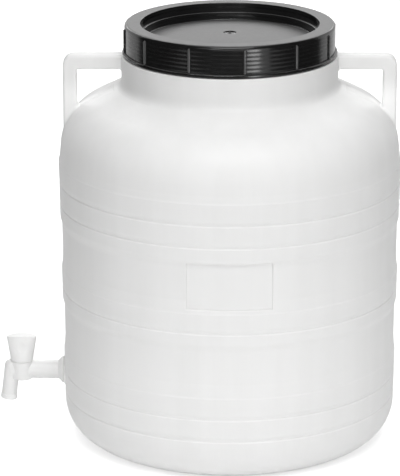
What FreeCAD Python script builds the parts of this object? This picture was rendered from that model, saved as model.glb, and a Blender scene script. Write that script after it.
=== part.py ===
"""Wide-neck plastic barrel with a draw-off tap, modelled piece by piece in millimetres.

The frame stands at the centre of the base, on the floor: +Z is up, the label panel faces -Y
and the tap leaves the wall towards -X.
"""
import FreeCAD, Part
import math
import os

from FreeCAD import Vector

# Barrel: the blown shell. Heights are stacked from the floor up, radii from the threaded part out.
WALL = 2.6                    # wall of the shell
BELT_RADIUS = 163.4           # widest belt, at the top ledge
DRAFT_DEG = 0.85              # the belts narrow towards the base by this angle
HEEL_RADIUS = 38.5            # big round heel under the belts
FOOT_WIDTH = 8.0              # ring that stands on the floor
PUSH_UP = 9.0                 # height of the hollow under the base
PUSH_UP_EDGE = 9.0            # width of its sloping edge
PUSH_UP_EDGE_RISE = 5.5
PUSH_UP_BOW = 0.25            # how far its middle sags, as a part of what is left of its height
GROOVE_DEPTH = 0.9            # step between two belts
GROOVE_LEDGE = 1.4            # height of the sharp side of a step
GROOVE_ROLL = 5.5             # height of its soft side
ROLL_AT = 0.4                 # where along the roll its bulge is measured, and how deep it still lies
ROLL_DEPTH_LEFT = 0.28
RECESS_DEPTH = 1.5            # plain bands that lie behind the belts
LEDGE_SHARE = 0.35            # part of that depth taken by the sharp ledge itself
BAND_SHOULDER = 8.5           # soft step from a plain band out to the belts above
STEP_TURN = 0.55              # shape of the two curves of that step
STEP_TURN_SHARE = 0.14
LEDGE_LOW = 87.1              # sharp upper edge of the lowest group of belts
CHAMFER_LOW = 14.0            # slope from that edge up into the plain band above it
BAND_LOW_HEIGHT = 45.9        # plain band above the lowest group
BELTS_MID_HEIGHT = 36.7       # middle group with its soft step
CHAMFER_MID = 12.4
BAND_MID_HEIGHT = 44.3
BELTS_TOP_HEIGHT = 61.4       # top group with its soft step
CHAMFER_TOP = 7.6
STEPS_LOW = (5.2, 26.8)       # steps between belts, above the heel
STEPS_MID = (8.0,)            # above the soft step
STEPS_TOP = (10.0, 31.4)
SHOULDER_RISE = 17.6          # the wall leans in from the top ledge up to here
SHOULDER_LEAN_DEG = 4.8
SHOULDER_RADIUS = 49.0        # round of the shoulder
SHOULDER_SLOPE_DEG = 27.0     # slope from there up to the neck
NECK_RISE = 84.6              # from the shoulder's start to the flat step under the lid
NECK_STEP = 7.9               # width of that step
NECK_FILLET = 8.0
FINISH_RADIUS = 95.0          # threaded part that the lid goes over
FINISH_HEIGHT = 26.0
FINISH_WALL = 2.9
FINISH_ROOT = 3.0             # round between the step and the threaded part
RIM_ROUND = 1.0
PANEL_WIDTH = 79.0            # shallow label panel on the front
PANEL_HEIGHT = 44.5
PANEL_LIFT = 4.3              # above the middle ledge
PANEL_DEPTH = 0.95            # below the plain band around it

# Handles, moulded in one with the shell
HANDLE_INSET = 5.1            # outer face of the leg, inside the widest belt
LEG_WIDTH = 13.2
BAR_HEIGHT = 13.9
HANDLE_THICK = 17.0
HANDLE_CORNER = 11.0
HANDLE_INNER_CORNER = 1.8
HANDLE_EDGE = 2.6
BAR_ROOT = 2.2                # round under the bar where it leaves the neck
LEG_ROOT = 2.0                # small round where a leg grows out of the shoulder
LEG_ROOT_RANGE = 36.0         # that round lies within this height above the leg's foot
LEG_SUNK = 3.0                # the leg's foot, above the shoulder's start and inside its wall
VALLEY_WIDTH = 37.0           # finger valley across the shoulder, beside the neck
VALLEY_DEPTH = 3.2
VALLEY_END_WIDTH = 17.0       # and where it runs out at the leg
VALLEY_END_DEPTH = 0.6
VALLEY_OVERRUN = 0.9          # how far it runs into the leg

# Lid and its seal
LID_GAP = 0.6                 # skirt over the neck step
LID_SKIN = 2.2                # wall of the lid
LID_EDGE = 0.8                # round on the lid's small edges
THREAD_ROOM = 2.5             # between the skirt and the threaded part
SEAL_THICK = 2.0              # seal squeezed between the neck's rim and the lid
SKIRT_ROUND = 3.2             # big round between the top and the skirt
BEAD_OUT = 2.1                # bead round the foot of the skirt
BEAD_HEIGHT = 3.0
TOP_WIDTH = 15.2              # flat ring between the skirt and the dish
DISH_TAPER = 0.6              # the dish has two walls with a ledge between them
DISH_LEDGE_DROP = 8.9
DISH_LEDGE_WIDTH = 2.0
DISH_LOWER_TAPER = 0.7
DISH_DEPTH = 16.1
DISH_ROUND = 1.0
DOME_RISE = 6.5               # the floor of the dish swells up to its middle
GATE_RADIUS = 6.3             # round dimple left by the mould's gate
GATE_DEPTH = 0.8
GATE_NUB_RADIUS = 1.3
GATE_NUB_RISE = 0.9
GATE_NUB_TAPER = 0.3
RIB_COUNT = 12
RIB_RADIUS = 1.6
RIB_FIRST_DEG = 8.0           # first rib, from the front towards +X
RIB_DROP = 3.4                # rib tops below the lid's top
SEAL_SKIRT_CLEARANCE = 0.5
SEAL_DISH_CLEARANCE = 1.9

# Tap. Its heights are measured from the axis of its tube.
TAP_HEIGHT = 61.0             # axis of the tube above the floor
TUBE_RADIUS = 8.9
TUBE_BORE = 5.4
PAD_RISE = 0.5                # flat pad on the wall, outside
PAD_INNER_RISE = 1.2          # and inside
PAD_MARGIN = 1.7              # pad around the collar
WASHER_THICK = 1.2
COLLAR_RADIUS = 12.9          # the washers are as wide as the collar
COLLAR_RIM = 0.8
SHANK_RADIUS = 9.3
SHANK_CLEARANCE = 0.4         # shank to the hole in the wall and to the washers
NUT_FLATS = 28.0
NUT_THICK = 8.0
NUT_CLEARANCE = 0.15
NUT_CHAMFER = 1.5
NUT_CHAMFER_FALL = 2.4        # how far the chamfer goes in at its end
NUT_CORNER_LEFT = 0.3         # width left unchamfered at the corners
SHANK_PAST_NUT = 4.0
SHANK_CHAMFER = 0.8
SPINDLE_STANDOFF = 41.6       # axis of the turning plug from the pad
HOUSING_RADIUS = 11.0
HOUSING_ABOVE = 9.6
HOUSING_BELOW = 8.8
HOUSING_ROUND = 1.5
SPOUT_RADIUS = 7.5
SPOUT_BORE = 5.2
SPOUT_PAST_SPINDLE = 11.1     # spout axis at the spout's knee, from the plug's axis
TUBE_PAST_SPOUT = 2.2         # the tube's bore ends this far past the spout's axis
KNEE_DROP = 10.0              # the spout's bore ends here, and a narrower way leads on to the tube
ELBOW_BORE = 4.1
ELBOW_SHIFT = 1.0             # the narrower way lies this much further out
ELBOW_OVERLAP = 3.0
SPOUT_LEAN_DEG = 6.9
SPOUT_DROP = 29.4             # tip of the spout
SPOUT_ABOVE = 9.4             # its rounded top
SPOUT_TOP_ROUND = 5.0
LIP_OUT = 0.5                 # lip round the tip
LIP_HEIGHT = 4.8
LIP_ROUND = 0.8
LIP_TOP_ROUND = 0.45
SEAT_TOP_RADIUS = 7.9         # tapered seat of the plug
SEAT_TAPER = 0.8
SEAT_DEPTH = 16.4
SEAT_CLEARANCE = 0.06
KEY_LIFT = 0.4                # key above the floor of its seat
KEY_BORE = 5.0
KNOB_GAP = 0.4                # knob over the housing
KNOB_OUT = 0.2                # its foot stands out past the housing
KNOB_ROOT_HEIGHT = 2.2
KNOB_WIDTH = 29.7
KNOB_THICK = 13.5
KNOB_HEIGHT = 25.8
KNOB_CROWN = 1.4
KNOB_EDGE = 1.2
CROWN_ARC_DEG = (-120, -60)   # arc that cuts the crown, wider than the knob
SCOOP_RADIUS = 22.0
SCOOP_DEPTH = 1.1
SCOOP_DROP = 10.4             # from the top of the knob
SCOOP_LIFT = 4.0

# Helpers
OVERRUN = 1.0                 # a cutter runs this far past the face it cuts
OUTSIDE = 10.0                # and the panel's cutter this far outside the belts
PICK = 0.1                    # play when an edge is picked by its place

# Heights and radii that follow from the sizes above
BAND_LOW_TOP = LEDGE_LOW + BAND_LOW_HEIGHT
LEDGE_MID = BAND_LOW_TOP + BELTS_MID_HEIGHT
BAND_MID_TOP = LEDGE_MID + BAND_MID_HEIGHT
LEDGE_TOP = BAND_MID_TOP + BELTS_TOP_HEIGHT
GROOVES_LOW = [HEEL_RADIUS + rise for rise in STEPS_LOW]
GROOVES_MID = [BAND_LOW_TOP + BAND_SHOULDER + rise for rise in STEPS_MID]
GROOVES_TOP = [BAND_MID_TOP + BAND_SHOULDER + rise for rise in STEPS_TOP]
SHOULDER_START = LEDGE_TOP + SHOULDER_RISE
NECK_TOP = SHOULDER_START + NECK_RISE
RIM_TOP = NECK_TOP + FINISH_HEIGHT
LID_TOP = RIM_TOP + SEAL_THICK + LID_SKIN
NECK_RADIUS = FINISH_RADIUS + NECK_STEP
SKIRT_RADIUS = FINISH_RADIUS + THREAD_ROOM + LID_SKIN
BEAD_RADIUS = SKIRT_RADIUS + BEAD_OUT
DISH_RADIUS = SKIRT_RADIUS - TOP_WIDTH
DISH_LEDGE = LID_TOP - DISH_LEDGE_DROP
DISH_LOWER_RADIUS = DISH_RADIUS - DISH_TAPER - DISH_LEDGE_WIDTH
DISH_FLOOR = LID_TOP - DISH_DEPTH
RIB_TOP = LID_TOP - RIB_DROP
SEAL_OUTER = SKIRT_RADIUS - LID_SKIN - SEAL_SKIRT_CLEARANCE
SEAL_INNER = DISH_RADIUS + LID_SKIN + SEAL_DISH_CLEARANCE
PANEL_BOTTOM = LEDGE_MID + PANEL_LIFT
PANEL_TOP = PANEL_BOTTOM + PANEL_HEIGHT
LEG_FOOT = SHOULDER_START + LEG_SUNK
HANDLE_REACH = BELT_RADIUS - HANDLE_INSET
LEG_INNER = HANDLE_REACH - LEG_WIDTH
VALLEY_REACH = LEG_INNER + VALLEY_OVERRUN
HOUSING_TOP = TAP_HEIGHT + HOUSING_ABOVE
HOUSING_BOTTOM = TAP_HEIGHT - HOUSING_BELOW
SPOUT_KNEE = TAP_HEIGHT - KNEE_DROP
SPOUT_TIP = TAP_HEIGHT - SPOUT_DROP
SPOUT_TOP = TAP_HEIGHT + SPOUT_ABOVE
LIP_RADIUS = SPOUT_RADIUS + LIP_OUT
SEAT_FLOOR = HOUSING_TOP - SEAT_DEPTH
SEAT_BOTTOM_RADIUS = SEAT_TOP_RADIUS - SEAT_TAPER
KNOB_ROOT_RADIUS = HOUSING_RADIUS + KNOB_OUT
KNOB_TOP = HOUSING_TOP + KNOB_HEIGHT
SCOOP_HEIGHT = KNOB_TOP - SCOOP_DROP
WASHER_HOLE = SHANK_RADIUS + SHANK_CLEARANCE


def belt_radius(z):
    """Radius of the belts at a height, with the mould's draft."""
    return BELT_RADIUS - (LEDGE_TOP - z) * math.tan(math.radians(DRAFT_DEG))


FOOT_RADIUS = belt_radius(HEEL_RADIUS) - HEEL_RADIUS
PANEL_RADIUS = belt_radius((PANEL_BOTTOM + PANEL_TOP) / 2) - RECESS_DEPTH - PANEL_DEPTH
PAD_FACE = belt_radius(TAP_HEIGHT) + PAD_RISE
PAD_INNER_FACE = belt_radius(TAP_HEIGHT) - WALL - PAD_INNER_RISE
SPINDLE_OUT = PAD_FACE + SPINDLE_STANDOFF
SPOUT_OUT = SPINDLE_OUT + SPOUT_PAST_SPINDLE

UP = Vector(0, 0, 1)
ALONG_X = Vector(1, 0, 0)
ALONG_Y = Vector(0, 1, 0)


def polar(centre, radius, degrees):
    """Point on a circle in the (r, z) half plane, angle from the outward direction."""
    angle = math.radians(degrees)
    return (centre[0] + radius * math.cos(angle), centre[1] + radius * math.sin(angle))


class Outline:
    """Closed outline in the half plane of radius and height, turned about the vertical axis."""

    def __init__(self, r, z):
        self.start = (r, z)
        self.here = (r, z)
        self.edges = []

    def point(self, place):
        return Vector(place[0], 0, place[1])

    def line(self, r, z):
        if math.dist(self.here, (r, z)) > 1e-6:
            self.edges.append(Part.LineSegment(self.point(self.here), self.point((r, z))).toShape())
            self.here = (r, z)
        return self

    def arc(self, centre, radius, start_deg, end_deg):
        first = polar(centre, radius, start_deg)
        last = polar(centre, radius, end_deg)
        middle = polar(centre, radius, (start_deg + end_deg) / 2)
        self.line(*first)
        self.edges.append(Part.Arc(self.point(first), self.point(middle), self.point(last)).toShape())
        self.here = last
        return self

    def bow(self, middle, end):
        self.edges.append(Part.Arc(self.point(self.here), self.point(middle), self.point(end)).toShape())
        self.here = end
        return self

    def face(self):
        self.line(*self.start)
        return Part.Face(Part.Wire(self.edges))

    def turned(self):
        return self.face().revolve(Vector(0, 0, 0), UP, 360)


def rod(radius, x_from, x_to, y=0.0, z=TAP_HEIGHT):
    """Cylinder along X."""
    low = min(x_from, x_to)
    return Part.makeCylinder(radius, abs(x_to - x_from), Vector(low, y, z), ALONG_X)


def post(radius, z_from, z_to, x=0.0, y=0.0):
    """Cylinder along Z."""
    return Part.makeCylinder(radius, z_to - z_from, Vector(x, y, z_from), UP)


def ring(inner, outer, x_from, x_to):
    """Flat ring about the tube's axis."""
    low = min(x_from, x_to) - OVERRUN
    high = max(x_from, x_to) + OVERRUN
    return rod(outer, x_from, x_to).cut(rod(inner, low, high))


def add_groove(outline, z, inset):
    """Step between two belts: a sharp ledge facing up, then a soft roll back out."""
    outline.line(belt_radius(z) - inset, z)
    outline.line(belt_radius(z) - GROOVE_DEPTH - inset, z + GROOVE_LEDGE)
    middle = z + GROOVE_LEDGE + GROOVE_ROLL * ROLL_AT
    end = z + GROOVE_LEDGE + GROOVE_ROLL
    bulge = (belt_radius(middle) - GROOVE_DEPTH * ROLL_DEPTH_LEFT - inset, middle)
    outline.bow(bulge, (belt_radius(end) - inset, end))


def add_ledge(outline, z, chamfer, depth, inset):
    """Sharp upper edge of a group of belts, with the slope into the plain wall above it."""
    outline.line(belt_radius(z) - inset, z)
    outline.line(belt_radius(z) - LEDGE_SHARE * depth - inset, z + GROOVE_LEDGE)
    outline.line(belt_radius(z + chamfer) - depth - inset, z + chamfer)


def add_band_end(outline, z, inset):
    """Soft step from a plain band out to the belts above it."""
    half = BAND_SHOULDER / 2
    first = z + half * STEP_TURN
    last = z + half * (2 - STEP_TURN)
    outline.line(belt_radius(z) - RECESS_DEPTH - inset, z)
    outline.bow(
        (belt_radius(first) - RECESS_DEPTH * (1 - STEP_TURN_SHARE) - inset, first),
        (belt_radius(z + half) - RECESS_DEPTH / 2 - inset, z + half),
    )
    outline.bow(
        (belt_radius(last) - RECESS_DEPTH * STEP_TURN_SHARE - inset, last),
        (belt_radius(z + 2 * half) - inset, z + 2 * half),
    )


def shoulder():
    """Centre of the shoulder's round and the points where it starts and ends, on the outside."""
    lean = math.radians(SHOULDER_LEAN_DEG)
    foot_z = LEDGE_TOP + CHAMFER_TOP
    foot_r = belt_radius(foot_z) - RECESS_DEPTH
    start_r = foot_r - (SHOULDER_START - foot_z) * math.tan(lean)
    centre = (start_r - SHOULDER_RADIUS * math.cos(lean), SHOULDER_START - SHOULDER_RADIUS * math.sin(lean))
    end = polar(centre, SHOULDER_RADIUS, 90 - SHOULDER_SLOPE_DEG)
    return centre, end


def neck_fillet():
    """Centre of the hollow round between the sloping shoulder and the neck."""
    _, end = shoulder()
    slope = math.radians(SHOULDER_SLOPE_DEG)
    centre_r = NECK_RADIUS + NECK_FILLET
    on_slope = end[1] + (end[0] - centre_r) * math.tan(slope)
    return (centre_r, on_slope + NECK_FILLET / math.cos(slope))


def shell_outline(inset):
    """Outside of the shell for inset 0, or its inside for inset WALL, up to the neck step."""
    fine = inset == 0
    outline = Outline(0, PUSH_UP + inset)
    edge_r = FOOT_RADIUS - FOOT_WIDTH
    outline.bow(
        ((edge_r - PUSH_UP_EDGE) / 2, PUSH_UP + inset - (PUSH_UP - PUSH_UP_EDGE_RISE) * PUSH_UP_BOW),
        (edge_r - PUSH_UP_EDGE, PUSH_UP_EDGE_RISE + inset),
    )
    outline.line(edge_r, inset)
    outline.arc((FOOT_RADIUS, HEEL_RADIUS), HEEL_RADIUS - inset, -90, -DRAFT_DEG)
    for z in GROOVES_LOW:
        if fine:
            add_groove(outline, z, inset)
    add_ledge(outline, LEDGE_LOW, CHAMFER_LOW, RECESS_DEPTH, inset)
    add_band_end(outline, BAND_LOW_TOP, inset)
    for z in GROOVES_MID:
        if fine:
            add_groove(outline, z, inset)
    add_ledge(outline, LEDGE_MID, CHAMFER_MID, RECESS_DEPTH, inset)
    add_band_end(outline, BAND_MID_TOP, inset)
    for z in GROOVES_TOP:
        if fine:
            add_groove(outline, z, inset)
    add_ledge(outline, LEDGE_TOP, CHAMFER_TOP, RECESS_DEPTH, inset)
    centre, _ = shoulder()
    outline.arc(centre, SHOULDER_RADIUS - inset, SHOULDER_LEAN_DEG, 90 - SHOULDER_SLOPE_DEG)
    outline.arc(neck_fillet(), NECK_FILLET + inset, 270 - SHOULDER_SLOPE_DEG, 180)
    return outline


def outer_form():
    """Solid inside the outer skin: body, neck step and threaded part."""
    outline = shell_outline(0)
    outline.line(NECK_RADIUS, NECK_TOP)
    outline.arc((FINISH_RADIUS + FINISH_ROOT, NECK_TOP + FINISH_ROOT), FINISH_ROOT, 270, 180)
    outline.arc((FINISH_RADIUS - RIM_ROUND, RIM_TOP - RIM_ROUND), RIM_ROUND, 0, 90)
    outline.line(0, RIM_TOP)
    return outline.turned()


def inner_form():
    """Solid of the hollow, open at the mouth."""
    outline = shell_outline(WALL)
    step = NECK_TOP - WALL
    mouth_r = FINISH_RADIUS - FINISH_WALL
    outline.line(NECK_RADIUS - WALL, step)
    outline.line(mouth_r, step)
    outline.line(mouth_r, RIM_TOP + OVERRUN)
    outline.line(0, RIM_TOP + OVERRUN)
    return outline.turned()


def panel_block(radius, side_margin):
    """Everything in front of the label panel's face, out past the wall."""
    outline = Outline(radius, PANEL_BOTTOM - side_margin)
    far = BELT_RADIUS + OUTSIDE
    outline.line(far, PANEL_BOTTOM - side_margin)
    outline.line(far, PANEL_TOP + side_margin)
    outline.line(radius, PANEL_TOP + side_margin)
    width = PANEL_WIDTH + 2 * side_margin
    window = Part.makeBox(width, far, LEDGE_TOP, Vector(-width / 2, -far, 0))
    return outline.turned().common(window)


def valley(side, inset):
    """Cutter for one finger valley: a tapered trough that lies along the sloping shoulder."""
    slope = math.radians(SHOULDER_SLOPE_DEG)
    _, end = shoulder()
    near_z = end[1] + (end[0] - NECK_RADIUS) * math.tan(slope)
    run = (VALLEY_REACH - NECK_RADIUS) / math.cos(slope)
    near_r = (VALLEY_WIDTH ** 2 / 4 + VALLEY_DEPTH ** 2) / (2 * VALLEY_DEPTH)
    far_r = (VALLEY_END_WIDTH ** 2 / 4 + VALLEY_END_DEPTH ** 2) / (2 * VALLEY_END_DEPTH)
    along = Vector(side * math.cos(slope), 0, -math.sin(slope))
    out = Vector(side * math.sin(slope), 0, math.cos(slope))
    near = Vector(side * NECK_RADIUS, 0, near_z) + out * (near_r - VALLEY_DEPTH)
    far = Vector(side * NECK_RADIUS, 0, near_z) + along * run + out * (far_r - VALLEY_END_DEPTH)
    axis = far - near
    trough = Part.makeCone(near_r + inset, far_r + inset, axis.Length, near, axis)
    keep = post(VALLEY_REACH, 0, RIM_TOP).cut(post(NECK_RADIUS - inset, 0, RIM_TOP))
    return trough.common(keep)


def handle(side):
    """One carrying handle: a bar out from the neck and a leg down to the shoulder."""
    top = NECK_TOP
    bottom = top - BAR_HEIGHT
    root = NECK_RADIUS - WALL
    outline = Outline(root, top)
    outline.arc((HANDLE_REACH - HANDLE_CORNER, top - HANDLE_CORNER), HANDLE_CORNER, 90, 0)
    outline.line(HANDLE_REACH, LEG_FOOT)
    outline.line(LEG_INNER, LEG_FOOT)
    inner_corner = (LEG_INNER - HANDLE_INNER_CORNER, bottom - HANDLE_INNER_CORNER)
    outline.arc(inner_corner, HANDLE_INNER_CORNER, 0, 90)
    outline.arc((NECK_RADIUS + BAR_ROOT, bottom - BAR_ROOT), BAR_ROOT, 90, 180)
    outline.line(root, bottom - BAR_ROOT)
    slab = outline.face().extrude(ALONG_Y * HANDLE_THICK)
    slab.translate(ALONG_Y * (-HANDLE_THICK / 2))
    rims = [e for e in slab.Edges if abs(e.CenterOfMass.y) > HANDLE_THICK / 2 - PICK]
    rims = [e for e in rims if e.BoundBox.XMax > root + PICK and e.BoundBox.ZMax > LEG_FOOT + PICK]
    slab = slab.makeFillet(HANDLE_EDGE, rims)
    if side < 0:
        slab = slab.mirror(Vector(0, 0, 0), ALONG_X)
    return slab


def leg_root_edges(solid):
    """Edges where the legs of the handles meet the shoulder."""
    found = []
    for edge in solid.Edges:
        box = edge.BoundBox
        within = abs(edge.CenterOfMass.y) < HANDLE_THICK / 2 + PICK
        on_leg = abs(edge.CenterOfMass.x) > LEG_INNER - PICK
        if within and on_leg and LEG_FOOT < box.ZMin and box.ZMax < LEG_FOOT + LEG_ROOT_RANGE:
            found.append(edge)
    return found


def make_barrel():
    outer = outer_form()
    inner = inner_form()
    outer = outer.cut(panel_block(PANEL_RADIUS, 0))
    inner = inner.cut(panel_block(PANEL_RADIUS - WALL, WALL))
    for side in (-1, 1):
        outer = outer.cut(valley(side, 0))
        inner = inner.cut(valley(side, WALL))
    for side in (-1, 1):
        outer = outer.fuse(handle(side))
    outer = outer.makeFillet(LEG_ROOT, leg_root_edges(outer))
    shell = outer.cut(inner)
    pad = rod(COLLAR_RADIUS + PAD_MARGIN, -PAD_INNER_FACE, -PAD_FACE)
    shell = shell.fuse(pad)
    hole = rod(WASHER_HOLE, -PAD_INNER_FACE + OVERRUN, -PAD_FACE - OVERRUN)
    return shell.cut(hole).removeSplitter()


def dome_height(radius):
    """Height of the dish's swelling floor at a distance from the lid's axis."""
    edge = DISH_LOWER_RADIUS - DISH_LOWER_TAPER - DISH_ROUND
    ball = (edge ** 2 + DOME_RISE ** 2) / (2 * DOME_RISE)
    return DISH_FLOOR + DOME_RISE - ball + math.sqrt(ball ** 2 - radius ** 2)


def make_lid_profile():
    """Section of the lid: bead, skirt, top, dish, and the inside one skin below them."""
    bottom = NECK_TOP + LID_GAP
    inside = SKIRT_RADIUS - LID_SKIN
    roof = LID_TOP - LID_SKIN
    bead_top = bottom + BEAD_HEIGHT
    lower_r = DISH_LOWER_RADIUS - DISH_LOWER_TAPER
    edge_r = lower_r - DISH_ROUND
    gate_floor = dome_height(GATE_RADIUS) - GATE_DEPTH
    nub_top = gate_floor + GATE_NUB_RISE
    lid = Outline(inside, bottom)
    lid.arc((BEAD_RADIUS - LID_EDGE, bottom + LID_EDGE), LID_EDGE, 270, 360)
    lid.arc((BEAD_RADIUS - LID_EDGE, bead_top - LID_EDGE), LID_EDGE, 0, 90)
    lid.line(SKIRT_RADIUS, bead_top)
    lid.arc((SKIRT_RADIUS - SKIRT_ROUND, LID_TOP - SKIRT_ROUND), SKIRT_ROUND, 0, 90)
    lid.arc((DISH_RADIUS + LID_EDGE, LID_TOP - LID_EDGE), LID_EDGE, 90, 180)
    lid.line(DISH_RADIUS - DISH_TAPER, DISH_LEDGE)
    lid.arc((DISH_LOWER_RADIUS + LID_EDGE, DISH_LEDGE - LID_EDGE), LID_EDGE, 90, 180)
    lid.line(lower_r, DISH_FLOOR + DISH_ROUND)
    lid.arc((edge_r, DISH_FLOOR + DISH_ROUND), DISH_ROUND, 0, -90)
    lid.bow((edge_r / 2, dome_height(edge_r / 2)), (GATE_RADIUS, dome_height(GATE_RADIUS)))
    lid.line(GATE_RADIUS - GATE_DEPTH, gate_floor)
    lid.line(GATE_NUB_RADIUS, gate_floor)
    lid.line(GATE_NUB_RADIUS - GATE_NUB_TAPER, nub_top)
    lid.line(0, nub_top)
    lid.line(0, dome_height(0) - LID_SKIN)
    lid.bow((edge_r / 2, dome_height(edge_r / 2) - LID_SKIN), (edge_r, DISH_FLOOR - LID_SKIN))
    lid.arc((edge_r, DISH_FLOOR + DISH_ROUND), DISH_ROUND + LID_SKIN, -90, 0)
    lid.line(DISH_LOWER_RADIUS + LID_SKIN, DISH_LEDGE - LID_SKIN)
    lid.line(DISH_RADIUS - DISH_TAPER + LID_SKIN, DISH_LEDGE - LID_SKIN)
    lid.line(DISH_RADIUS + LID_SKIN, roof)
    lid.line(inside, roof)
    return lid


def make_lid():
    solid = make_lid_profile().turned()
    foot = NECK_TOP + LID_GAP + BEAD_HEIGHT - LID_EDGE
    for index in range(RIB_COUNT):
        angle = math.radians(RIB_FIRST_DEG + index * 360 / RIB_COUNT)
        x = SKIRT_RADIUS * math.sin(angle)
        y = -SKIRT_RADIUS * math.cos(angle)
        grip = post(RIB_RADIUS, foot, RIB_TOP - RIB_RADIUS, x, y)
        grip = grip.fuse(Part.makeSphere(RIB_RADIUS, Vector(x, y, RIB_TOP - RIB_RADIUS)))
        solid = solid.fuse(grip)
    return solid


def make_gasket():
    roof = RIM_TOP + SEAL_THICK
    return post(SEAL_OUTER, RIM_TOP, roof).cut(post(SEAL_INNER, RIM_TOP - OVERRUN, roof + OVERRUN))


def spout_point(z):
    """Point on the leaning axis of the spout."""
    drop = (SPOUT_KNEE - z) * math.tan(math.radians(SPOUT_LEAN_DEG))
    return Vector(-SPOUT_OUT - drop, 0, z)


def spout_piece(radius, z_from, z_to):
    """Cylinder along the leaning axis, its ends square to that axis."""
    low = spout_point(z_from)
    axis = spout_point(z_to) - low
    return Part.makeCylinder(radius, axis.Length, low, axis)


def outer_edges(solid, radius, at):
    """Circular edges of one radius about a point."""
    found = []
    for edge in solid.Edges:
        if isinstance(edge.Curve, Part.Circle) and abs(edge.Curve.Radius - radius) < PICK:
            if edge.Curve.Center.distanceToPoint(at) < PICK:
                found.append(edge)
    return found


def make_tap_body():
    seat = -PAD_FACE - WASHER_THICK
    rim = seat - COLLAR_RIM
    cone_height = COLLAR_RADIUS - TUBE_RADIUS
    nut_end = -PAD_INNER_FACE + WASHER_THICK + NUT_THICK
    inlet = nut_end + SHANK_PAST_NUT
    shank = rod(SHANK_RADIUS, seat - OVERRUN, inlet)
    shank_end = Vector(inlet, 0, TAP_HEIGHT)
    shank = shank.makeChamfer(SHANK_CHAMFER, outer_edges(shank, SHANK_RADIUS, shank_end))
    collar = rod(COLLAR_RADIUS, seat, rim)
    cone_base = Vector(rim, 0, TAP_HEIGHT)
    cone = Part.makeCone(COLLAR_RADIUS, TUBE_RADIUS, cone_height, cone_base, -ALONG_X)
    tube = rod(TUBE_RADIUS, seat, -SPOUT_OUT)
    housing = post(HOUSING_RADIUS, HOUSING_BOTTOM, HOUSING_TOP, -SPINDLE_OUT)
    ends = outer_edges(housing, HOUSING_RADIUS, Vector(-SPINDLE_OUT, 0, HOUSING_BOTTOM))
    housing = housing.makeFillet(HOUSING_ROUND, ends)
    spout = spout_piece(SPOUT_RADIUS, SPOUT_TIP, SPOUT_TOP)
    spout = spout.makeFillet(SPOUT_TOP_ROUND, outer_edges(spout, SPOUT_RADIUS, spout_point(SPOUT_TOP)))
    lip = spout_piece(LIP_RADIUS, SPOUT_TIP, SPOUT_TIP + LIP_HEIGHT)
    for height, radius in ((SPOUT_TIP + LIP_HEIGHT, LIP_TOP_ROUND), (SPOUT_TIP, LIP_ROUND)):
        lip = lip.makeFillet(radius, outer_edges(lip, LIP_RADIUS, spout_point(height)))
    body = shank
    for piece in (collar, cone, tube, housing, spout, lip):
        body = body.fuse(piece)
    body = body.removeSplitter()
    bore = rod(TUBE_BORE, inlet + OVERRUN, -SPOUT_OUT - TUBE_PAST_SPOUT)
    drop = spout_piece(SPOUT_BORE, SPOUT_TIP - OVERRUN, SPOUT_KNEE)
    elbow = post(ELBOW_BORE, SPOUT_KNEE - ELBOW_OVERLAP, TAP_HEIGHT, -SPOUT_OUT - ELBOW_SHIFT)
    seat_foot = Vector(-SPINDLE_OUT, 0, SEAT_FLOOR)
    seat_cone = Part.makeCone(SEAT_BOTTOM_RADIUS, SEAT_TOP_RADIUS, SEAT_DEPTH, seat_foot, UP)
    for hollow in (bore, drop, elbow, seat_cone):
        body = body.cut(hollow)
    return body


def ellipse_wire(half_x, half_y, z):
    """Closed outline of the knob at one height."""
    centre = Vector(-SPINDLE_OUT, 0, z)
    if half_x <= half_y:
        return Part.Wire(Part.Circle(centre, UP, half_x).toShape())
    curve = Part.Ellipse(centre + Vector(half_x, 0, 0), centre + Vector(0, half_y, 0), centre)
    return Part.Wire(curve.toShape())


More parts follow.
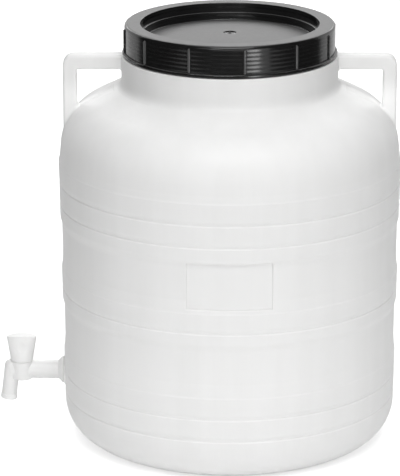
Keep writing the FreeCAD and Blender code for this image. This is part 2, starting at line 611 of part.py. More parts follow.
def make_tap_plug():
    taper = SEAT_TAPER / SEAT_DEPTH
    key_foot = SEAT_FLOOR + KEY_LIFT
    foot_r = SEAT_BOTTOM_RADIUS + KEY_LIFT * taper - SEAT_CLEARANCE
    knob_foot = HOUSING_TOP + KNOB_GAP
    top_r = foot_r + (knob_foot - key_foot) * taper
    key = Part.makeCone(foot_r, top_r, knob_foot - key_foot, Vector(-SPINDLE_OUT, 0, key_foot), UP)
    cross_start = Vector(-SPINDLE_OUT, -2 * KEY_BORE, TAP_HEIGHT)
    key = key.cut(Part.makeCylinder(KEY_BORE, 4 * KEY_BORE, cross_start, ALONG_Y))
    root_top = knob_foot + KNOB_ROOT_HEIGHT
    above = KNOB_TOP + KNOB_CROWN
    share = (above - root_top) / (KNOB_TOP - root_top)
    half_width = KNOB_ROOT_RADIUS + (KNOB_WIDTH / 2 - KNOB_ROOT_RADIUS) * share
    half_thick = KNOB_ROOT_RADIUS + (KNOB_THICK / 2 - KNOB_ROOT_RADIUS) * share
    flare = Part.makeLoft(
        [
            ellipse_wire(KNOB_ROOT_RADIUS, KNOB_ROOT_RADIUS, knob_foot),
            ellipse_wire(KNOB_ROOT_RADIUS, KNOB_ROOT_RADIUS, root_top),
            ellipse_wire(half_width, half_thick, above),
        ], True, True)
    crown = (KNOB_WIDTH ** 2 / 4 + KNOB_CROWN ** 2) / (2 * KNOB_CROWN)
    centre = Vector(-SPINDLE_OUT, -KNOB_WIDTH, KNOB_TOP - crown)
    arch = Part.makeCircle(crown, centre, ALONG_Y, *CROWN_ARC_DEG)
    sector = Part.Face(Part.Wire([
        arch,
        Part.makeLine(arch.Vertexes[-1].Point, centre),
        Part.makeLine(centre, arch.Vertexes[0].Point),
    ]))
    dome = sector.extrude(ALONG_Y * (2 * KNOB_WIDTH))
    knob = flare.common(dome)
    rim = [e for e in knob.Edges if e.BoundBox.ZMin > KNOB_TOP - 3 * KNOB_CROWN]
    knob = knob.makeFillet(KNOB_EDGE, rim)
    for side in (-1, 1):
        knob = knob.cut(knob_scoop(side, root_top))
    return key.fuse(knob)


def knob_scoop(side, root_top):
    """Ball that hollows one broad face of the knob for a fingertip."""
    share = (SCOOP_HEIGHT - root_top) / (KNOB_TOP - root_top)
    face = KNOB_ROOT_RADIUS + (KNOB_THICK / 2 - KNOB_ROOT_RADIUS) * share
    out = face + SCOOP_RADIUS - SCOOP_DEPTH
    return Part.makeSphere(SCOOP_RADIUS, Vector(-SPINDLE_OUT, side * out, SCOOP_HEIGHT + SCOOP_LIFT))


def make_washer(x_face, x_far):
    return ring(WASHER_HOLE, COLLAR_RADIUS, x_face, x_far)


def make_lock_nut():
    near = -PAD_INNER_FACE + WASHER_THICK
    corner = NUT_FLATS / 2 / math.cos(math.radians(30))
    points = []
    for index in range(7):
        angle = math.radians(60 * index + 30)
        points.append(Vector(near, corner * math.cos(angle), TAP_HEIGHT + corner * math.sin(angle)))
    prism = Part.Face(Part.makePolygon(points)).extrude(ALONG_X * NUT_THICK)
    tip = corner + NUT_CORNER_LEFT
    envelope = rod(tip, near, near + NUT_THICK - NUT_CHAMFER)
    chamfer_foot = Vector(near + NUT_THICK - NUT_CHAMFER, 0, TAP_HEIGHT)
    cone = Part.makeCone(tip, tip - NUT_CHAMFER_FALL, NUT_CHAMFER, chamfer_foot, ALONG_X)
    nut = prism.common(envelope.fuse(cone))
    return nut.cut(rod(SHANK_RADIUS + NUT_CLEARANCE, near - OVERRUN, near + NUT_THICK + OVERRUN))


def build():
    parts = {
        "barrel": make_barrel(),
        "screw_lid": make_lid(),
        "lid_gasket": make_gasket(),
        "tap_body": make_tap_body(),
        "tap_plug": make_tap_plug(),
        "tap_outer_washer": make_washer(-PAD_FACE, -PAD_FACE - WASHER_THICK),
        "tap_inner_washer": make_washer(-PAD_INNER_FACE, -PAD_INNER_FACE + WASHER_THICK),
        "tap_lock_nut": make_lock_nut(),
    }
    os.makedirs("parts", exist_ok=True)
    for name, shape in parts.items():
        box = shape.BoundBox
        print(f"{name}: valid {shape.isValid()}, solids {len(shape.Solids)}, {shape.Volume:.0f} mm3")
        print(f"    x {box.XMin:.1f}..{box.XMax:.1f}, y {box.YMin:.1f}..{box.YMax:.1f}, "
              f"z {box.ZMin:.1f}..{box.ZMax:.1f}")
        shape.exportStep(f"parts/{name}.step")


build()
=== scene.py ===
# %% [markdown]
# A wide-neck plastic barrel with a draw-off tap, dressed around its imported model.
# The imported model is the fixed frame: every piece below sits where that frame says, in metres.
# We load it first, keep its box, and print what is in it, so that each later step can build on names.

# %% Load the frame
import math

import bmesh
import bpy
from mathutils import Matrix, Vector


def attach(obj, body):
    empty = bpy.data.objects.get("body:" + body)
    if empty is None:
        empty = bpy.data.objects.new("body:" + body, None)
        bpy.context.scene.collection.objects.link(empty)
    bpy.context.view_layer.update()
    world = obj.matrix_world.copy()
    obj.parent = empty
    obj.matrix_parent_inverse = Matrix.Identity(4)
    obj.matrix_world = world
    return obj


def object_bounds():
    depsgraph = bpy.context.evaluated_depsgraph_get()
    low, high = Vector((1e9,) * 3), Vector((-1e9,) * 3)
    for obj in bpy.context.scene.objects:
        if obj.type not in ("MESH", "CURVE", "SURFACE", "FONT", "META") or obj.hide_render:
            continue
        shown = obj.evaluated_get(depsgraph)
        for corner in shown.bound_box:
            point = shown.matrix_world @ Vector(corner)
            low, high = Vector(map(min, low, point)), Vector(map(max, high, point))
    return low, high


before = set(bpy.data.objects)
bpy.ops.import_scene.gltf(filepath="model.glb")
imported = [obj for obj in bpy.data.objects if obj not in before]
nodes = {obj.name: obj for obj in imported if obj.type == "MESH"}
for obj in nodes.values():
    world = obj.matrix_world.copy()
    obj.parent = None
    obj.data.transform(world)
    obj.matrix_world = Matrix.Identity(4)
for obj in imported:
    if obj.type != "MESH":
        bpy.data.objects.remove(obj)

MM = 0.001
cad_low, cad_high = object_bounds()
scene = bpy.context.scene
print("nodes:", sorted(nodes))
print("box in mm:", [round(v / MM, 1) for v in (*cad_low, *cad_high)])

# %% [markdown]
# The camera stands as far away as a product photographer's does, with a long lens, and looks down a
# little. Its distance, height and tilt come from the rings round the body, whose ellipses open towards
# the base. The barrel stands right of the picture's middle. The camera turns a little to the left for
# that, where lens shift could do it too: the picture is the same, and views from other sides stay
# centred.

# %% Camera
PICTURE_WIDTH = 400
PICTURE_HEIGHT = 476
SENSOR = 36.0
FOCAL_PIXELS = 3136.3
CAMERA_DISTANCE = 2.8916
CAMERA_HEIGHT = 1.0758
CAMERA_TILT = math.radians(16.942)
CAMERA_ROLL = math.radians(0.07)
AXIS_COLUMN = 228.4           # the barrel's axis in the picture
SEES_AS_FAR_AS = 50

camera_data = bpy.data.cameras.new("camera")
camera_data.sensor_width = SENSOR
camera_data.lens = FOCAL_PIXELS / max(PICTURE_WIDTH, PICTURE_HEIGHT) * SENSOR
camera_data.clip_end = SEES_AS_FAR_AS
camera = bpy.data.objects.new("camera", camera_data)
scene.collection.objects.link(camera)
off_axis = AXIS_COLUMN - PICTURE_WIDTH / 2
turn_left = math.asin(off_axis / (FOCAL_PIXELS * math.cos(CAMERA_TILT)))
camera.location = (0, -CAMERA_DISTANCE, CAMERA_HEIGHT)
camera.rotation_euler = (math.pi / 2 - CAMERA_TILT, CAMERA_ROLL, turn_left)
scene.camera = camera
print("lens", round(camera_data.lens, 1), "mm")
print("turned left", round(math.degrees(turn_left), 3), "degrees")

# %% [markdown]
# Light, floor and finishes are all made of shader nodes. A few short functions build them, so that each
# finish reads like a formula. An input takes either the result of another node or a plain value.

# %% Helpers for nodes


def feed(tree, value, socket):
    """Gives an input the result of another node, or a plain value."""
    if isinstance(value, bpy.types.NodeSocket):
        tree.links.new(value, socket)
    else:
        socket.default_value = value


def math_node(tree, operation, *values):
    """The result of a Math node."""
    node = tree.nodes.new("ShaderNodeMath")
    node.operation = operation
    for socket, value in zip(node.inputs, values):
        feed(tree, value, socket)
    return node.outputs[0]


def map_range(tree, value, start, end, low=0.0, high=1.0, soft=False):
    """Carries a value that goes from start to end over to low to high, and stops there."""
    node = tree.nodes.new("ShaderNodeMapRange")
    if soft:
        node.interpolation_type = "SMOOTHSTEP"
    for name, bound in (("From Min", start), ("From Max", end), ("To Min", low), ("To Max", high)):
        node.inputs[name].default_value = bound
    tree.links.new(value, node.inputs["Value"])
    return node.outputs["Result"]


def split(tree, vector):
    """The X, Y and Z of a vector."""
    node = tree.nodes.new("ShaderNodeSeparateXYZ")
    tree.links.new(vector, node.inputs["Vector"])
    return node.outputs


print("node helpers ready")

# %% [markdown]
# A white body and a black, glossy lid want different things. The body needs broad soft light from the
# front and above, which leaves its sides a little darker, so that it looks round. A picture of a
# studio could light the world, but a formula of the direction is even and easy to tune: some light
# from every side, and more from where the camera stands.

# %% World: fill light
FILL_BASE = 0.09              # light from every side
FILL_FRONT = 0.485            # and more from the camera's side and above
FILL_TOWARDS = (0.12, -0.80, 0.59)

scene.view_settings.view_transform = "Standard"
world = bpy.data.worlds.new("studio")
scene.world = world
world.use_nodes = True
sky = world.node_tree
sky.nodes.clear()
direction = sky.nodes.new("ShaderNodeTexCoord").outputs["Generated"]
towards = sky.nodes.new("ShaderNodeVectorMath")
towards.operation = "DOT_PRODUCT"
towards.inputs[1].default_value = FILL_TOWARDS
sky.links.new(direction, towards.inputs[0])
facing = math_node(sky, "MAXIMUM", towards.outputs["Value"], 0.0)
fill = math_node(sky, "ADD", math_node(sky, "MULTIPLY", facing, FILL_FRONT), FILL_BASE)
print("fill from", FILL_BASE, "to", FILL_BASE + FILL_FRONT)

# %% [markdown]
# The lid shows whatever stands around it: white paper behind, a dark room in front. Sheets of paper
# could stand there, but they would also shade the body. Here the world asks what kind of ray it
# answers: reflections see less of the fill and white paper in the back, the camera sees plain white.

# %% World: what reflections and the camera see
PAPER_EDGE = (0.36, 0.52)     # how far round from straight behind the white paper reaches
PAPER_WHITE = 1.0
MIRROR_DIM = 0.85             # reflections see this much less of the fill than the body does

rays = sky.nodes.new("ShaderNodeLightPath").outputs
behind = map_range(sky, split(sky, direction)["Y"], *PAPER_EDGE, high=PAPER_WHITE, soft=True)
paper = math_node(sky, "MULTIPLY", behind, rays["Is Glossy Ray"])
dimmed = math_node(sky, "MULTIPLY", rays["Is Glossy Ray"], MIRROR_DIM)
lit = math_node(sky, "MULTIPLY", fill, math_node(sky, "SUBTRACT", 1.0, dimmed))
lit = math_node(sky, "MAXIMUM", lit, paper)
seen = math_node(sky, "MAXIMUM", rays["Is Camera Ray"], rays["Is Transmission Ray"])
glow = sky.nodes.new("ShaderNodeBackground")
sky.links.new(math_node(sky, "MAXIMUM", lit, seen), glow.inputs["Strength"])
sky_out = sky.nodes.new("ShaderNodeOutputWorld")
sky.links.new(glow.outputs[0], sky_out.inputs["Surface"])
print("world has", len(sky.nodes), "nodes")

# %% [markdown]
# Soft boxes do the rest. A soft box is a rectangle of light: the larger it is, the softer its shadows.
# Three big ones do the lighting: above the camera for the shoulder and the front, overhead for the top,
# and high behind, where the flat top of the lid catches it at a low angle and turns from black to grey.
# A low one in front lifts the foot of the shell. The small ones hardly light the body: they are there
# to be seen in the black skirt, as two patches at its right and one at its left.

# %% Lamps
BODY_MIDDLE = (0, 0, cad_high.z / 2)
LID_MIDDLE = (0, 0, cad_high.z)
SOFT_BOXES = (
    # name, place, target, width, height, watts
    ("above_camera", (0.10, -1.35, 2.2), BODY_MIDDLE, 1.4, 1.1, 23),
    ("overhead", (0.0, 0.2, 2.6), (0, 0.1, 0), 2.0, 2.0, 11.5),
    ("behind_high", (0.0, 1.7, 1.5), LID_MIDDLE, 2.2, 1.5, 23),
    ("low_right", (1.20, -1.85, -0.05), (0, -0.1, 0.39), 0.75, 1.3, 3),
    ("front_left", (-0.75, -1.9, 0.86), LID_MIDDLE, 0.8, 0.5, 2.5),
    ("front_low", (-0.05, -2.3, 0.35), (0, 0, 0.12), 1.6, 0.5, 6),
    ("right_card", (1.00, -2.10, 0.0), LID_MIDDLE, 0.50, 0.30, 3),
)


def soft_box(name, place, target, width, height, power):
    """A rectangle of light that faces a target."""
    data = bpy.data.lights.new(name, "AREA")
    data.shape = "RECTANGLE"
    data.size = width
    data.size_y = height
    data.energy = power
    lamp = bpy.data.objects.new(name, data)
    scene.collection.objects.link(lamp)
    lamp.location = place
    lamp.rotation_euler = (Vector(target) - Vector(place)).to_track_quat("-Z", "Y").to_euler()


for row in SOFT_BOXES:
    soft_box(*row)

# %% [markdown]
# The floor is a white sheet under the foot ring. Against a white backdrop it could be left out, but
# it throws light back up at the shell, which is why the foot of the shell is nearly as bright as its
# front, and it takes the soft shadow that makes the barrel stand.

# %% Floor
FLOOR_HALF_WIDTH = 1.22
FLOOR_FRONT = -1.15
FLOOR_BACK = 2.60
FLOOR_BELOW = 0.1 * MM        # keeps the sheet and the foot ring apart

corners = [(-FLOOR_HALF_WIDTH, FLOOR_FRONT, 0), (FLOOR_HALF_WIDTH, FLOOR_FRONT, 0),
           (FLOOR_HALF_WIDTH, FLOOR_BACK, 0), (-FLOOR_HALF_WIDTH, FLOOR_BACK, 0)]
floor_mesh = bpy.data.meshes.new("floor")
floor_mesh.from_pydata(corners, [], [(0, 1, 2, 3)])
floor = bpy.data.objects.new("floor", floor_mesh)
scene.collection.objects.link(floor)
floor.location.z = cad_low.z - FLOOR_BELOW
print("floor", 2 * FLOOR_HALF_WIDTH, "m wide at z", round(floor.location.z, 4))

# %% [markdown]
# The lamps alone leave the sheet a pale grey. Brighter lamps would whiten it, but would burn out the
# shell too. So the sheet adds a glow that only the camera sees, up to white. The glow is the same
# everywhere, so the soft shadow stays.

# %% Floor paint
FLOOR_WHITE = 0.93
FLOOR_GLOW = 0.52


def grey(level):
    """A colour without hue."""
    return (level, level, level, 1)


floor_paint = bpy.data.materials.new("floor_white")
floor_paint.use_nodes = True
paint = floor_paint.node_tree
paint.nodes.clear()
matt = paint.nodes.new("ShaderNodeBsdfDiffuse")
matt.inputs["Color"].default_value = grey(FLOOR_WHITE)
shine = paint.nodes.new("ShaderNodeEmission")
camera_ray = paint.nodes.new("ShaderNodeLightPath").outputs["Is Camera Ray"]
paint.links.new(math_node(paint, "MULTIPLY", camera_ray, FLOOR_GLOW), shine.inputs["Strength"])
both = paint.nodes.new("ShaderNodeAddShader")
paint.links.new(matt.outputs[0], both.inputs[0])
paint.links.new(shine.outputs[0], both.inputs[1])
paint_out = paint.nodes.new("ShaderNodeOutputMaterial")
paint.links.new(both.outputs[0], paint_out.inputs["Surface"])
floor_mesh.materials.append(floor_paint)
print(floor_paint.name, "has", len(paint.nodes), "nodes")

# %% [markdown]
# Every finish below is one Principled shader with a few nodes in front of it. Patterns are laid in
# object coordinates, which here are the frame's own metres, so a pattern's scale is a real size.
# Images could carry patterns too, but noise has no seams and stays sharp from close by.

# %% Helpers for patterns
MOTTLE = (0.35, 0.65)         # noise below the first is all dark tone, above the second all light


def start_finish(name):
    """A material with a Principled shader, and its object coordinates."""
    material = bpy.data.materials.new(name)
    material.use_nodes = True
    tree = material.node_tree
    tree.nodes.clear()
    shader = tree.nodes.new("ShaderNodeBsdfPrincipled")
    out = tree.nodes.new("ShaderNodeOutputMaterial")
    tree.links.new(shader.outputs["BSDF"], out.inputs["Surface"])
    place = tree.nodes.new("ShaderNodeTexCoord").outputs["Object"]
    return material, tree, shader, place


def noise(tree, place, grains, detail=2.0):
    """Noise with so many grains a metre along each axis."""
    mapping = tree.nodes.new("ShaderNodeMapping")
    mapping.inputs["Scale"].default_value = grains
    pattern = tree.nodes.new("ShaderNodeTexNoise")
    pattern.inputs["Scale"].default_value = 1.0
    pattern.inputs["Detail"].default_value = detail
    tree.links.new(place, mapping.inputs["Vector"])
    tree.links.new(mapping.outputs["Vector"], pattern.inputs["Vector"])
    return pattern.outputs["Fac"]


def between(tree, value, low, high):
    """Turns a 0 to 1 value into one between low and high."""
    return map_range(tree, value, 0.0, 1.0, low, high)


def colour_ramp(tree, value, stops, curve="LINEAR"):
    """Colours along a value from 0 to 1."""
    ramp = tree.nodes.new("ShaderNodeValToRGB")
    ramp.color_ramp.interpolation = curve
    elements = ramp.color_ramp.elements
    while len(elements) < len(stops):
        elements.new(0.5)
    for element, (at, colour) in zip(elements, stops):
        element.position = at
        element.color = colour
    tree.links.new(value, ramp.inputs["Fac"])
    return ramp.outputs["Color"]


def two_tones(tree, value, dark, light):
    """Mottles two colours by a value."""
    return colour_ramp(tree, value, ((MOTTLE[0], (*dark, 1)), (MOTTLE[1], (*light, 1))))


print("pattern helpers ready")

# %% [markdown]
# A finish also needs to mix what it has, to lay fine bumps on the surface, and to let light into a
# pale plastic. Bumps only change the shading, which is enough for marks thinner than a millimetre.

# %% Helpers for surfaces


def mixed(tree, factor, first, second, kind="RGBA", blend="MIX"):
    """Mixes two colours, or two numbers where the kind is FLOAT."""
    node = tree.nodes.new("ShaderNodeMix")
    node.data_type = kind
    node.blend_type = blend
    for name, value in (("Factor", factor), ("A", first), ("B", second)):
        feed(tree, value, node.inputs[name])
    return node.outputs["Result"]


def bumped(tree, height, depth, normal=None):
    """A bump whose height 0 to 1 stands for depth in metres."""
    bump = tree.nodes.new("ShaderNodeBump")
    bump.inputs["Distance"].default_value = depth
    tree.links.new(height, bump.inputs["Height"])
    if normal is not None:
        tree.links.new(normal, bump.inputs["Normal"])
    return bump.outputs["Normal"]


def scatter_inside(shader, weight, depth):
    """Lets light wander inside a pale plastic, equally far for every colour."""
    shader.inputs["Subsurface Weight"].default_value = weight
    shader.inputs["Subsurface Radius"].default_value = (1.0, 1.0, 1.0)
    shader.inputs["Subsurface Scale"].default_value = depth


print("surface helpers ready")

# %% [markdown]
# The shell is natural white polyethylene, blown from a hot tube. Drawing out that tube leaves faint
# upright streaks. The tone also changes with the height as painted light and shade: paler at the foot
# and at the shoulder, darker up the wall and darkest at the neck. A painted picture could hold this,
# but a ramp along the height does it with seven tones that can be changed one by one.

# %% Shell: streaks and painted light by height
SHELL_LIGHT = (0.96, 0.96, 0.955)
SHELL_DARK = (0.94, 0.94, 0.934)
STREAK_GRAINS = (55.0, 55.0, 3.5)
NECK_HEIGHT = 378.0 * MM
# Painted light and shade: base-colour tones by height, paler at the foot and shoulder, darker up the
# wall and at the neck.
PAINTED_LIGHT_BY_HEIGHT = ((0.0, 0.95), (0.12, 0.96), (0.25, 0.955), (0.50, 0.91),
              (0.74, 0.88), (0.89, 0.96), (0.95, 0.83))

shell_finish, tree, shader, place = start_finish("blown_polyethylene")
streaks = noise(tree, place, STREAK_GRAINS, detail=3.0)
axes = split(tree, place)
height_share = map_range(tree, axes["Z"], 0.0, NECK_HEIGHT)
stops = [(at, grey(tone)) for at, tone in PAINTED_LIGHT_BY_HEIGHT]
painted_light_by_height = colour_ramp(tree, height_share, stops, "EASE")
streaked = two_tones(tree, streaks, SHELL_DARK, SHELL_LIGHT)
streaks_and_painted_light = mixed(tree, 1.0, streaked, painted_light_by_height, blend="MULTIPLY")
print("tones from", min(t for _, t in PAINTED_LIGHT_BY_HEIGHT), "to", max(t for _, t in PAINTED_LIGHT_BY_HEIGHT))

# %% [markdown]
# Air presses hot plastic into a groove less sharply than steel could, so every corner of the shell is
# a little round. The model could hold these rounds, but they cost many faces and show only in how they
# shade, so a Bevel node bends the normals near each edge.

# %% Shell: rounded corners
EDGE_ROUND = 1.6 * MM
EDGE_SAMPLES = 6

rounded = tree.nodes.new("ShaderNodeBevel")
rounded.samples = EDGE_SAMPLES
rounded.inputs["Radius"].default_value = EDGE_ROUND
lean = split(tree, rounded.outputs["Normal"])["Z"]
print("corners rounded by", round(EDGE_ROUND / MM, 1), "mm")

# %% [markdown]
# The plastic lets light in. Faces that look down, narrow corners under an edge, and sharp edges that
# catch the light from two sides are all a little brighter than they would be in paint. Tracing the
# light through the whole wall could show that, but slowly and with noise. So the tone is lifted where
# those places are: ambient occlusion finds the corners from outside and the edges from inside.

# %% Shell: light through the wall
CORNER_REACH = 4.0 * MM
CORNER_SAMPLES = 8
RIDGE_REACH = 1.5 * MM
RIDGE_SAMPLES = 16
LIT_DOWN = 0.12               # more light from a face that looks straight down
LIT_CORNER = 0.45             # more from a narrow corner under an edge
LIT_RIDGE = 0.06              # more from a sharp edge that looks up
# Bounds of each share, from none of it to all of it. Those of lean are the Z of the rounded surface.
DOWN_LEAN = (-0.02, -0.90)
CORNER_OPEN = (0.98, 0.60)
CORNER_LEAN = (0.05, -0.45)
RIDGE_OPEN = (0.995, 0.96)
RIDGE_LEAN = (0.02, 0.12)


def openness(reach, samples, inside):
    """How open the shell is within a reach: 1 on a plain wall, less in a corner."""
    node = tree.nodes.new("ShaderNodeAmbientOcclusion")
    node.only_local = True
    node.inside = inside
    node.samples = samples
    node.inputs["Distance"].default_value = reach
    return node.outputs["AO"]


corner = openness(CORNER_REACH, CORNER_SAMPLES, inside=False)
ridge = openness(RIDGE_REACH, RIDGE_SAMPLES, inside=True)
in_corner = math_node(tree, "MULTIPLY", map_range(tree, corner, *CORNER_OPEN),
                      map_range(tree, lean, *CORNER_LEAN))
on_ridge = math_node(tree, "MULTIPLY", map_range(tree, ridge, *RIDGE_OPEN),
                     map_range(tree, lean, *RIDGE_LEAN))
lift = 1.0
for amount, strength in ((map_range(tree, lean, *DOWN_LEAN), LIT_DOWN),
                         (in_corner, LIT_CORNER), (on_ridge, LIT_RIDGE)):
    lift = math_node(tree, "MULTIPLY_ADD", amount, strength, lift)
brightened = tree.nodes.new("ShaderNodeVectorMath")
brightened.operation = "SCALE"
tree.links.new(streaks_and_painted_light, brightened.inputs[0])
tree.links.new(lift, brightened.inputs["Scale"])
tree.links.new(brightened.outputs["Vector"], shader.inputs["Base Color"])
print("tone lifted by up to", LIT_DOWN, LIT_CORNER, LIT_RIDGE)

# %% [markdown]
# The mould was sand-blasted, so the shell is satin, with clouds where it blew tighter against the
# steel. One roughness all over would look like paint, so a slow noise varies it a little. Light that
# wanders a few millimetres inside softens the shading of every groove.

# %% Shell: gloss and depth
CLOUD_GRAINS = (18.0, 18.0, 18.0)
SHELL_ROUGHNESS = (0.36, 0.50)
SHELL_IOR = 1.5
SHELL_GLOSS = 0.27
SHELL_SCATTER = 0.35          # share of the light that wanders inside, and how far
SHELL_SCATTER_DEPTH = 6.0 * MM

clouds = noise(tree, place, CLOUD_GRAINS)
tree.links.new(between(tree, clouds, *SHELL_ROUGHNESS), shader.inputs["Roughness"])
shader.inputs["IOR"].default_value = SHELL_IOR
shader.inputs["Specular IOR Level"].default_value = SHELL_GLOSS
scatter_inside(shader, SHELL_SCATTER, SHELL_SCATTER_DEPTH)
print("roughness", SHELL_ROUGHNESS)

# %% [markdown]
# Up close the shell has an orange-peel grain from the blasted mould, the streaks can be felt, and a
# hair-thin line runs up each side where the mould's halves met. Displacement could move the surface
# itself, but these marks are thinner than its faces, so all three are bumps laid on the rounded
# surface. The seam lies where Y is zero, so the distance from there draws it.

# %% Shell: grain, streaks and seam
PEEL_GRAINS = (900.0, 900.0, 900.0)
PEEL_DEPTH = 0.03 * MM
STREAK_DEPTH = 0.25 * MM
SEAM_HALF_WIDTH = 0.45 * MM
SEAM_HEIGHT = 0.25 * MM

peel = noise(tree, place, PEEL_GRAINS, detail=1.0)
normal = bumped(tree, peel, PEEL_DEPTH, rounded.outputs["Normal"])
normal = bumped(tree, streaks, STREAK_DEPTH, normal)
from_seam = math_node(tree, "ABSOLUTE", axes["Y"])
seam = map_range(tree, from_seam, 0.0, SEAM_HALF_WIDTH, 1.0, 0.0, soft=True)
normal = bumped(tree, seam, SEAM_HEIGHT, normal)
tree.links.new(normal, shader.inputs["Normal"])
print(shell_finish.name, "has", len(tree.nodes), "nodes")

# %% [markdown]
# The lid is injection-moulded in black. The plastic's flow leaves a barely visible mottle. The crests
# of the grip ribs get a painted highlight, a lighter grey where they catch the light. The crests could
# be painted by hand. But a crest is what lies far from the lid's axis and above the bead, so two
# comparisons find all twelve.

# %% Lid: black with painted highlights on the ribs
LID_BLACK = (0.006, 0.006, 0.006)
LID_GREY = (0.009, 0.009, 0.009)
FLOW_GRAINS = (30.0, 30.0, 30.0)
CREST_HIGHLIGHT_GREY = 0.075
CREST_HIGHLIGHT_FROM = 100.45 * MM
CREST_HIGHLIGHT_WIDTH = 0.6 * MM
CREST_HIGHLIGHT_ABOVE = 382.0 * MM

lid_finish, tree, shader, place = start_finish("glossy_black")
flow = noise(tree, place, FLOW_GRAINS)
black = two_tones(tree, flow, LID_BLACK, LID_GREY)
spot = split(tree, place)
flat_place = tree.nodes.new("ShaderNodeCombineXYZ")
tree.links.new(spot["X"], flat_place.inputs["X"])
tree.links.new(spot["Y"], flat_place.inputs["Y"])
distance = tree.nodes.new("ShaderNodeVectorMath")
distance.operation = "LENGTH"
tree.links.new(flat_place.outputs["Vector"], distance.inputs[0])
from_axis = distance.outputs["Value"]
# Painted highlight: a lighter grey on the rib crests, where they catch the light.
crest = map_range(tree, from_axis, CREST_HIGHLIGHT_FROM, CREST_HIGHLIGHT_FROM + CREST_HIGHLIGHT_WIDTH)
above_bead = math_node(tree, "GREATER_THAN", spot["Z"], CREST_HIGHLIGHT_ABOVE)
highlighted = math_node(tree, "MULTIPLY", crest, above_bead)
colour = mixed(tree, highlighted, black, grey(CREST_HIGHLIGHT_GREY))
print("crests rubbed from", round(CREST_HIGHLIGHT_FROM / MM, 2), "mm off the axis")

# %% [markdown]
# The flat tops of the lid come from a grained part of the mould, so they scatter light. They look grey
# from a low angle partly from that and partly from a painted sheen, a grey base colour. The skirt comes
# from a polished part and mirrors the lamps. A polished ring also lies round the mark of the gate, the
# place where the plastic ran into the mould. Each area could have a material of its own, but masks in
# one material let them run into each other.

# %% Lid: grained tops, polished skirt and gate ring
SCUFF_GRAINS = (240.0, 240.0, 240.0)
SKIRT_ROUGHNESS = (0.10, 0.20)
TOP_ROUGHNESS = (0.48, 0.56)
TOP_FACES_UP = (0.80, 0.95)   # Z of the surface, from no flat top to all of it
# Painted sheen: the grey base colour of the grained flat tops.
TOP_SHEEN_GREY = 0.07
GATE_RING = 4.8 * MM          # middle of the polished ring, and half its width
GATE_RING_HALF = 1.5 * MM
GATE_ROUGHNESS = 0.12
LID_GLOSS = (0.5, 0.2)        # off the gate ring, and on it
LID_IOR = 1.52

scuffs = noise(tree, place, SCUFF_GRAINS, detail=4.0)
surface = place.node.outputs["Normal"]
flat_top = map_range(tree, split(tree, surface)["Z"], *TOP_FACES_UP, soft=True)
gate_ring = math_node(tree, "COMPARE", from_axis, GATE_RING, GATE_RING_HALF)
rough = mixed(tree, flat_top, between(tree, scuffs, *SKIRT_ROUGHNESS),
              between(tree, scuffs, *TOP_ROUGHNESS), "FLOAT")
rough = mixed(tree, gate_ring, rough, GATE_ROUGHNESS, "FLOAT")
tree.links.new(rough, shader.inputs["Roughness"])
tree.links.new(between(tree, gate_ring, *LID_GLOSS), shader.inputs["Specular IOR Level"])
shader.inputs["IOR"].default_value = LID_IOR
off_ring = math_node(tree, "SUBTRACT", flat_top, gate_ring)
grained_top_sheen = math_node(tree, "MAXIMUM", off_ring, 0.0)
# The flat tops off the gate ring get the painted sheen grey.
tree.links.new(mixed(tree, grained_top_sheen, colour, grey(TOP_SHEEN_GREY)), shader.inputs["Base Color"])
print("gate ring", round(GATE_RING / MM, 1), "mm from the axis")

# %% [markdown]
# The skirt's reflections are broken up by fine level ripples, tool marks that the polish left in the
# mould. As rings in the mesh they would need thousands of faces, so a sine along the height makes
# them, two hundredths of a millimetre deep.

# %% Lid: ripples
RIPPLE_PITCH = 3.9 * MM
RIPPLE_HEIGHT = 0.018 * MM
FLOW_DEPTH = 0.10 * MM

turns = math_node(tree, "MULTIPLY", spot["Z"], 2 * math.pi / RIPPLE_PITCH)
normal = bumped(tree, math_node(tree, "SINE", turns), RIPPLE_HEIGHT)
normal = bumped(tree, flow, FLOW_DEPTH, normal)
tree.links.new(normal, shader.inputs["Normal"])
print(lid_finish.name, "has", len(tree.nodes), "nodes")

# %% [markdown]
# The tap is moulded in a whiter, smoother plastic than the shell. The washers and the lid's seal are
# soft and dull. They share one recipe with different numbers, so a function writes them all.

# %% Finishes of the tap, washers and seal
MOTTLE_GRAINS = (70.0, 70.0, 70.0)
ROUGH_PLAY = 0.05
MOULDED_SCATTER = 0.15
MOULDED_SCATTER_DEPTH = 2.0 * MM


def plain_plastic(name, dark, light, rough, grain, depth):
    """A moulded plastic: slight mottle, uneven gloss and a fine grain of a given depth."""
    material, tree, shader, place = start_finish(name)
    mottle = noise(tree, place, MOTTLE_GRAINS)
    tree.links.new(two_tones(tree, mottle, dark, light), shader.inputs["Base Color"])
    uneven = between(tree, mottle, rough - ROUGH_PLAY, rough + ROUGH_PLAY)
    tree.links.new(uneven, shader.inputs["Roughness"])
    fine = noise(tree, place, (grain, grain, grain))
    tree.links.new(bumped(tree, fine, depth), shader.inputs["Normal"])
    scatter_inside(shader, MOULDED_SCATTER, MOULDED_SCATTER_DEPTH)
    print(name, "has", len(tree.nodes), "nodes")
    return material


tap_finish = plain_plastic(
    "white_moulded", dark=(0.84, 0.84, 0.835), light=(0.87, 0.87, 0.865),
    rough=0.34, grain=1500.0, depth=0.01 * MM)
washer_finish = plain_plastic(
    "washer_rubber", dark=(0.74, 0.74, 0.72), light=(0.80, 0.80, 0.78),
    rough=0.60, grain=1200.0, depth=0.03 * MM)
seal_finish = plain_plastic(
    "seal_foam", dark=(0.76, 0.76, 0.74), light=(0.84, 0.84, 0.82),
    rough=0.75, grain=2200.0, depth=0.08 * MM)

# %% [markdown]
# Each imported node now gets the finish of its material. The barrel is a single blown piece, so its
# handles wear the shell's finish too, and the tap's three hard pieces share one.

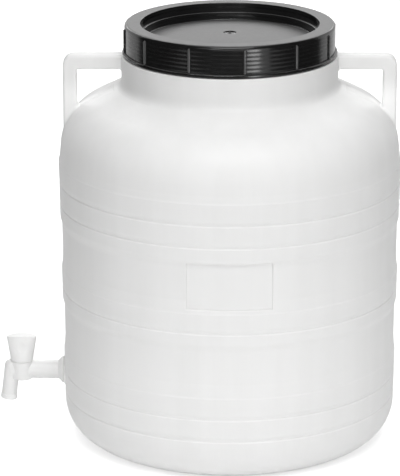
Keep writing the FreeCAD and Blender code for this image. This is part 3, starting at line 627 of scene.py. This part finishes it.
# %% Give each node its finish
FINISHES = {
    "barrel": shell_finish,
    "screw_lid": lid_finish,
    "lid_gasket": seal_finish,
    "tap_body": tap_finish,
    "tap_plug": tap_finish,
    "tap_lock_nut": tap_finish,
    "tap_outer_washer": washer_finish,
    "tap_inner_washer": washer_finish,
}
for name, finish in FINISHES.items():
    mesh = nodes[name].data
    mesh.materials.clear()
    mesh.materials.append(finish)
    print(name, "is", finish.name)

# %% [markdown]
# The threads show when the lid is off. Each is a two-start thread with a 16 mm lead, so a third of a
# turn already lifts the lid by 5 mm. A ridge is a trapezoid swept along a helix, and it fades out at
# both ends as a moulded thread does. A curve with a bevel could sweep it too, but would twist and
# could not fade its height alone.

# %% A function for threads
THREAD_LEAD = 16.0 * MM
THREAD_STARTS = 2
THREAD_FOOT = 3.2 * MM        # width of a ridge at the wall, and at its crest
THREAD_CREST = 1.4 * MM
THREAD_STEPS = 96
FADE_STEPS = 10
ROOT_SUNK = 0.3 * MM          # a ridge starts inside the wall that carries it


def ridge_row(root, tip, angle, z):
    """Corners of the trapezoid at one step of the sweep."""
    profile = ((root, -THREAD_FOOT), (tip, -THREAD_CREST), (tip, THREAD_CREST), (root, THREAD_FOOT))
    return [(r * math.cos(angle), r * math.sin(angle), z + width / 2) for r, width in profile]


def thread(name, wall, crest, lowest, finish):
    """Ridges on a round wall, one turn each from their lowest point up, out or in to the crest."""
    root = wall - ROOT_SUNK if crest > wall else wall + ROOT_SUNK
    bm = bmesh.new()
    for start in range(THREAD_STARTS):
        rows = []
        for step in range(THREAD_STEPS + 1):
            share = step / THREAD_STEPS
            angle = 2 * math.pi * (share + start / THREAD_STARTS)
            fade = min(1.0, step / FADE_STEPS, (THREAD_STEPS - step) / FADE_STEPS)
            tip = root + (crest - root) * math.sin(fade * math.pi / 2)
            row = ridge_row(root, tip, angle, lowest + THREAD_LEAD * share)
            rows.append([bm.verts.new(corner) for corner in row])
        for first, second in zip(rows, rows[1:]):
            for k in range(4):
                bm.faces.new((first[k], second[k], second[(k + 1) % 4], first[(k + 1) % 4]))
        bm.faces.new(rows[0])
        bm.faces.new(reversed(rows[-1]))
    bmesh.ops.recalc_face_normals(bm, faces=bm.faces)
    mesh = bpy.data.meshes.new(name)
    bm.to_mesh(mesh)
    bm.free()
    mesh.materials.append(finish)
    piece = bpy.data.objects.new(name, mesh)
    scene.collection.objects.link(piece)
    print(name, "has", len(mesh.polygons), "faces")
    return piece


print("a third of a turn lifts", round(THREAD_LEAD / 3 / MM, 1), "mm")

# %% [markdown]
# The lid's ridges run half way between the neck's. Both climb with the same lead, so they slide past
# each other without touching when the lid turns. Each thread rides on the body that carries it.

# %% Threads of the neck and the lid
NECK_WALL = 95.0 * MM
NECK_CREST = 96.7 * MM
NECK_THREAD_FROM = 384.0 * MM
LID_WALL = 97.5 * MM
LID_CREST = 95.6 * MM
LID_THREAD_FROM = 380.0 * MM

neck_thread = thread("neck_thread", NECK_WALL, NECK_CREST, NECK_THREAD_FROM, shell_finish)
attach(neck_thread, "barrel")
lid_thread = thread("lid_thread", LID_WALL, LID_CREST, LID_THREAD_FROM, lid_finish)
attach(lid_thread, "lid")

# %% [markdown]
# A blown shell has one more mark: under the base, where the mould pinched the hot tube shut, a low
# weld stays along the line between the mould's halves. Only its rounded lower half shows, so a
# stretched ball, sunk in the skin, is enough.

# %% Pinch-off weld under the base
WELD_LENGTH = 118.0 * MM
WELD_WIDTH = 3.4 * MM
WELD_DEPTH = 1.3 * MM
WELD_TOP = 8.6 * MM           # inside the base's skin, whose middle sags to about 8 mm
WELD_SEGMENTS = 48
WELD_RINGS = 16

bm = bmesh.new()
bmesh.ops.create_uvsphere(bm, u_segments=WELD_SEGMENTS, v_segments=WELD_RINGS, radius=0.5)
bmesh.ops.scale(bm, vec=(WELD_LENGTH, WELD_WIDTH, 2 * WELD_DEPTH), verts=bm.verts)
weld_mesh = bpy.data.meshes.new("pinch_off_weld")
bm.to_mesh(weld_mesh)
bm.free()
weld_mesh.shade_smooth()
weld_mesh.materials.append(shell_finish)
weld = bpy.data.objects.new("pinch_off_weld", weld_mesh)
scene.collection.objects.link(weld)
weld.location.z = WELD_TOP
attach(weld, "barrel")
print("weld", [round(v / MM, 1) for v in weld.dimensions], "mm")
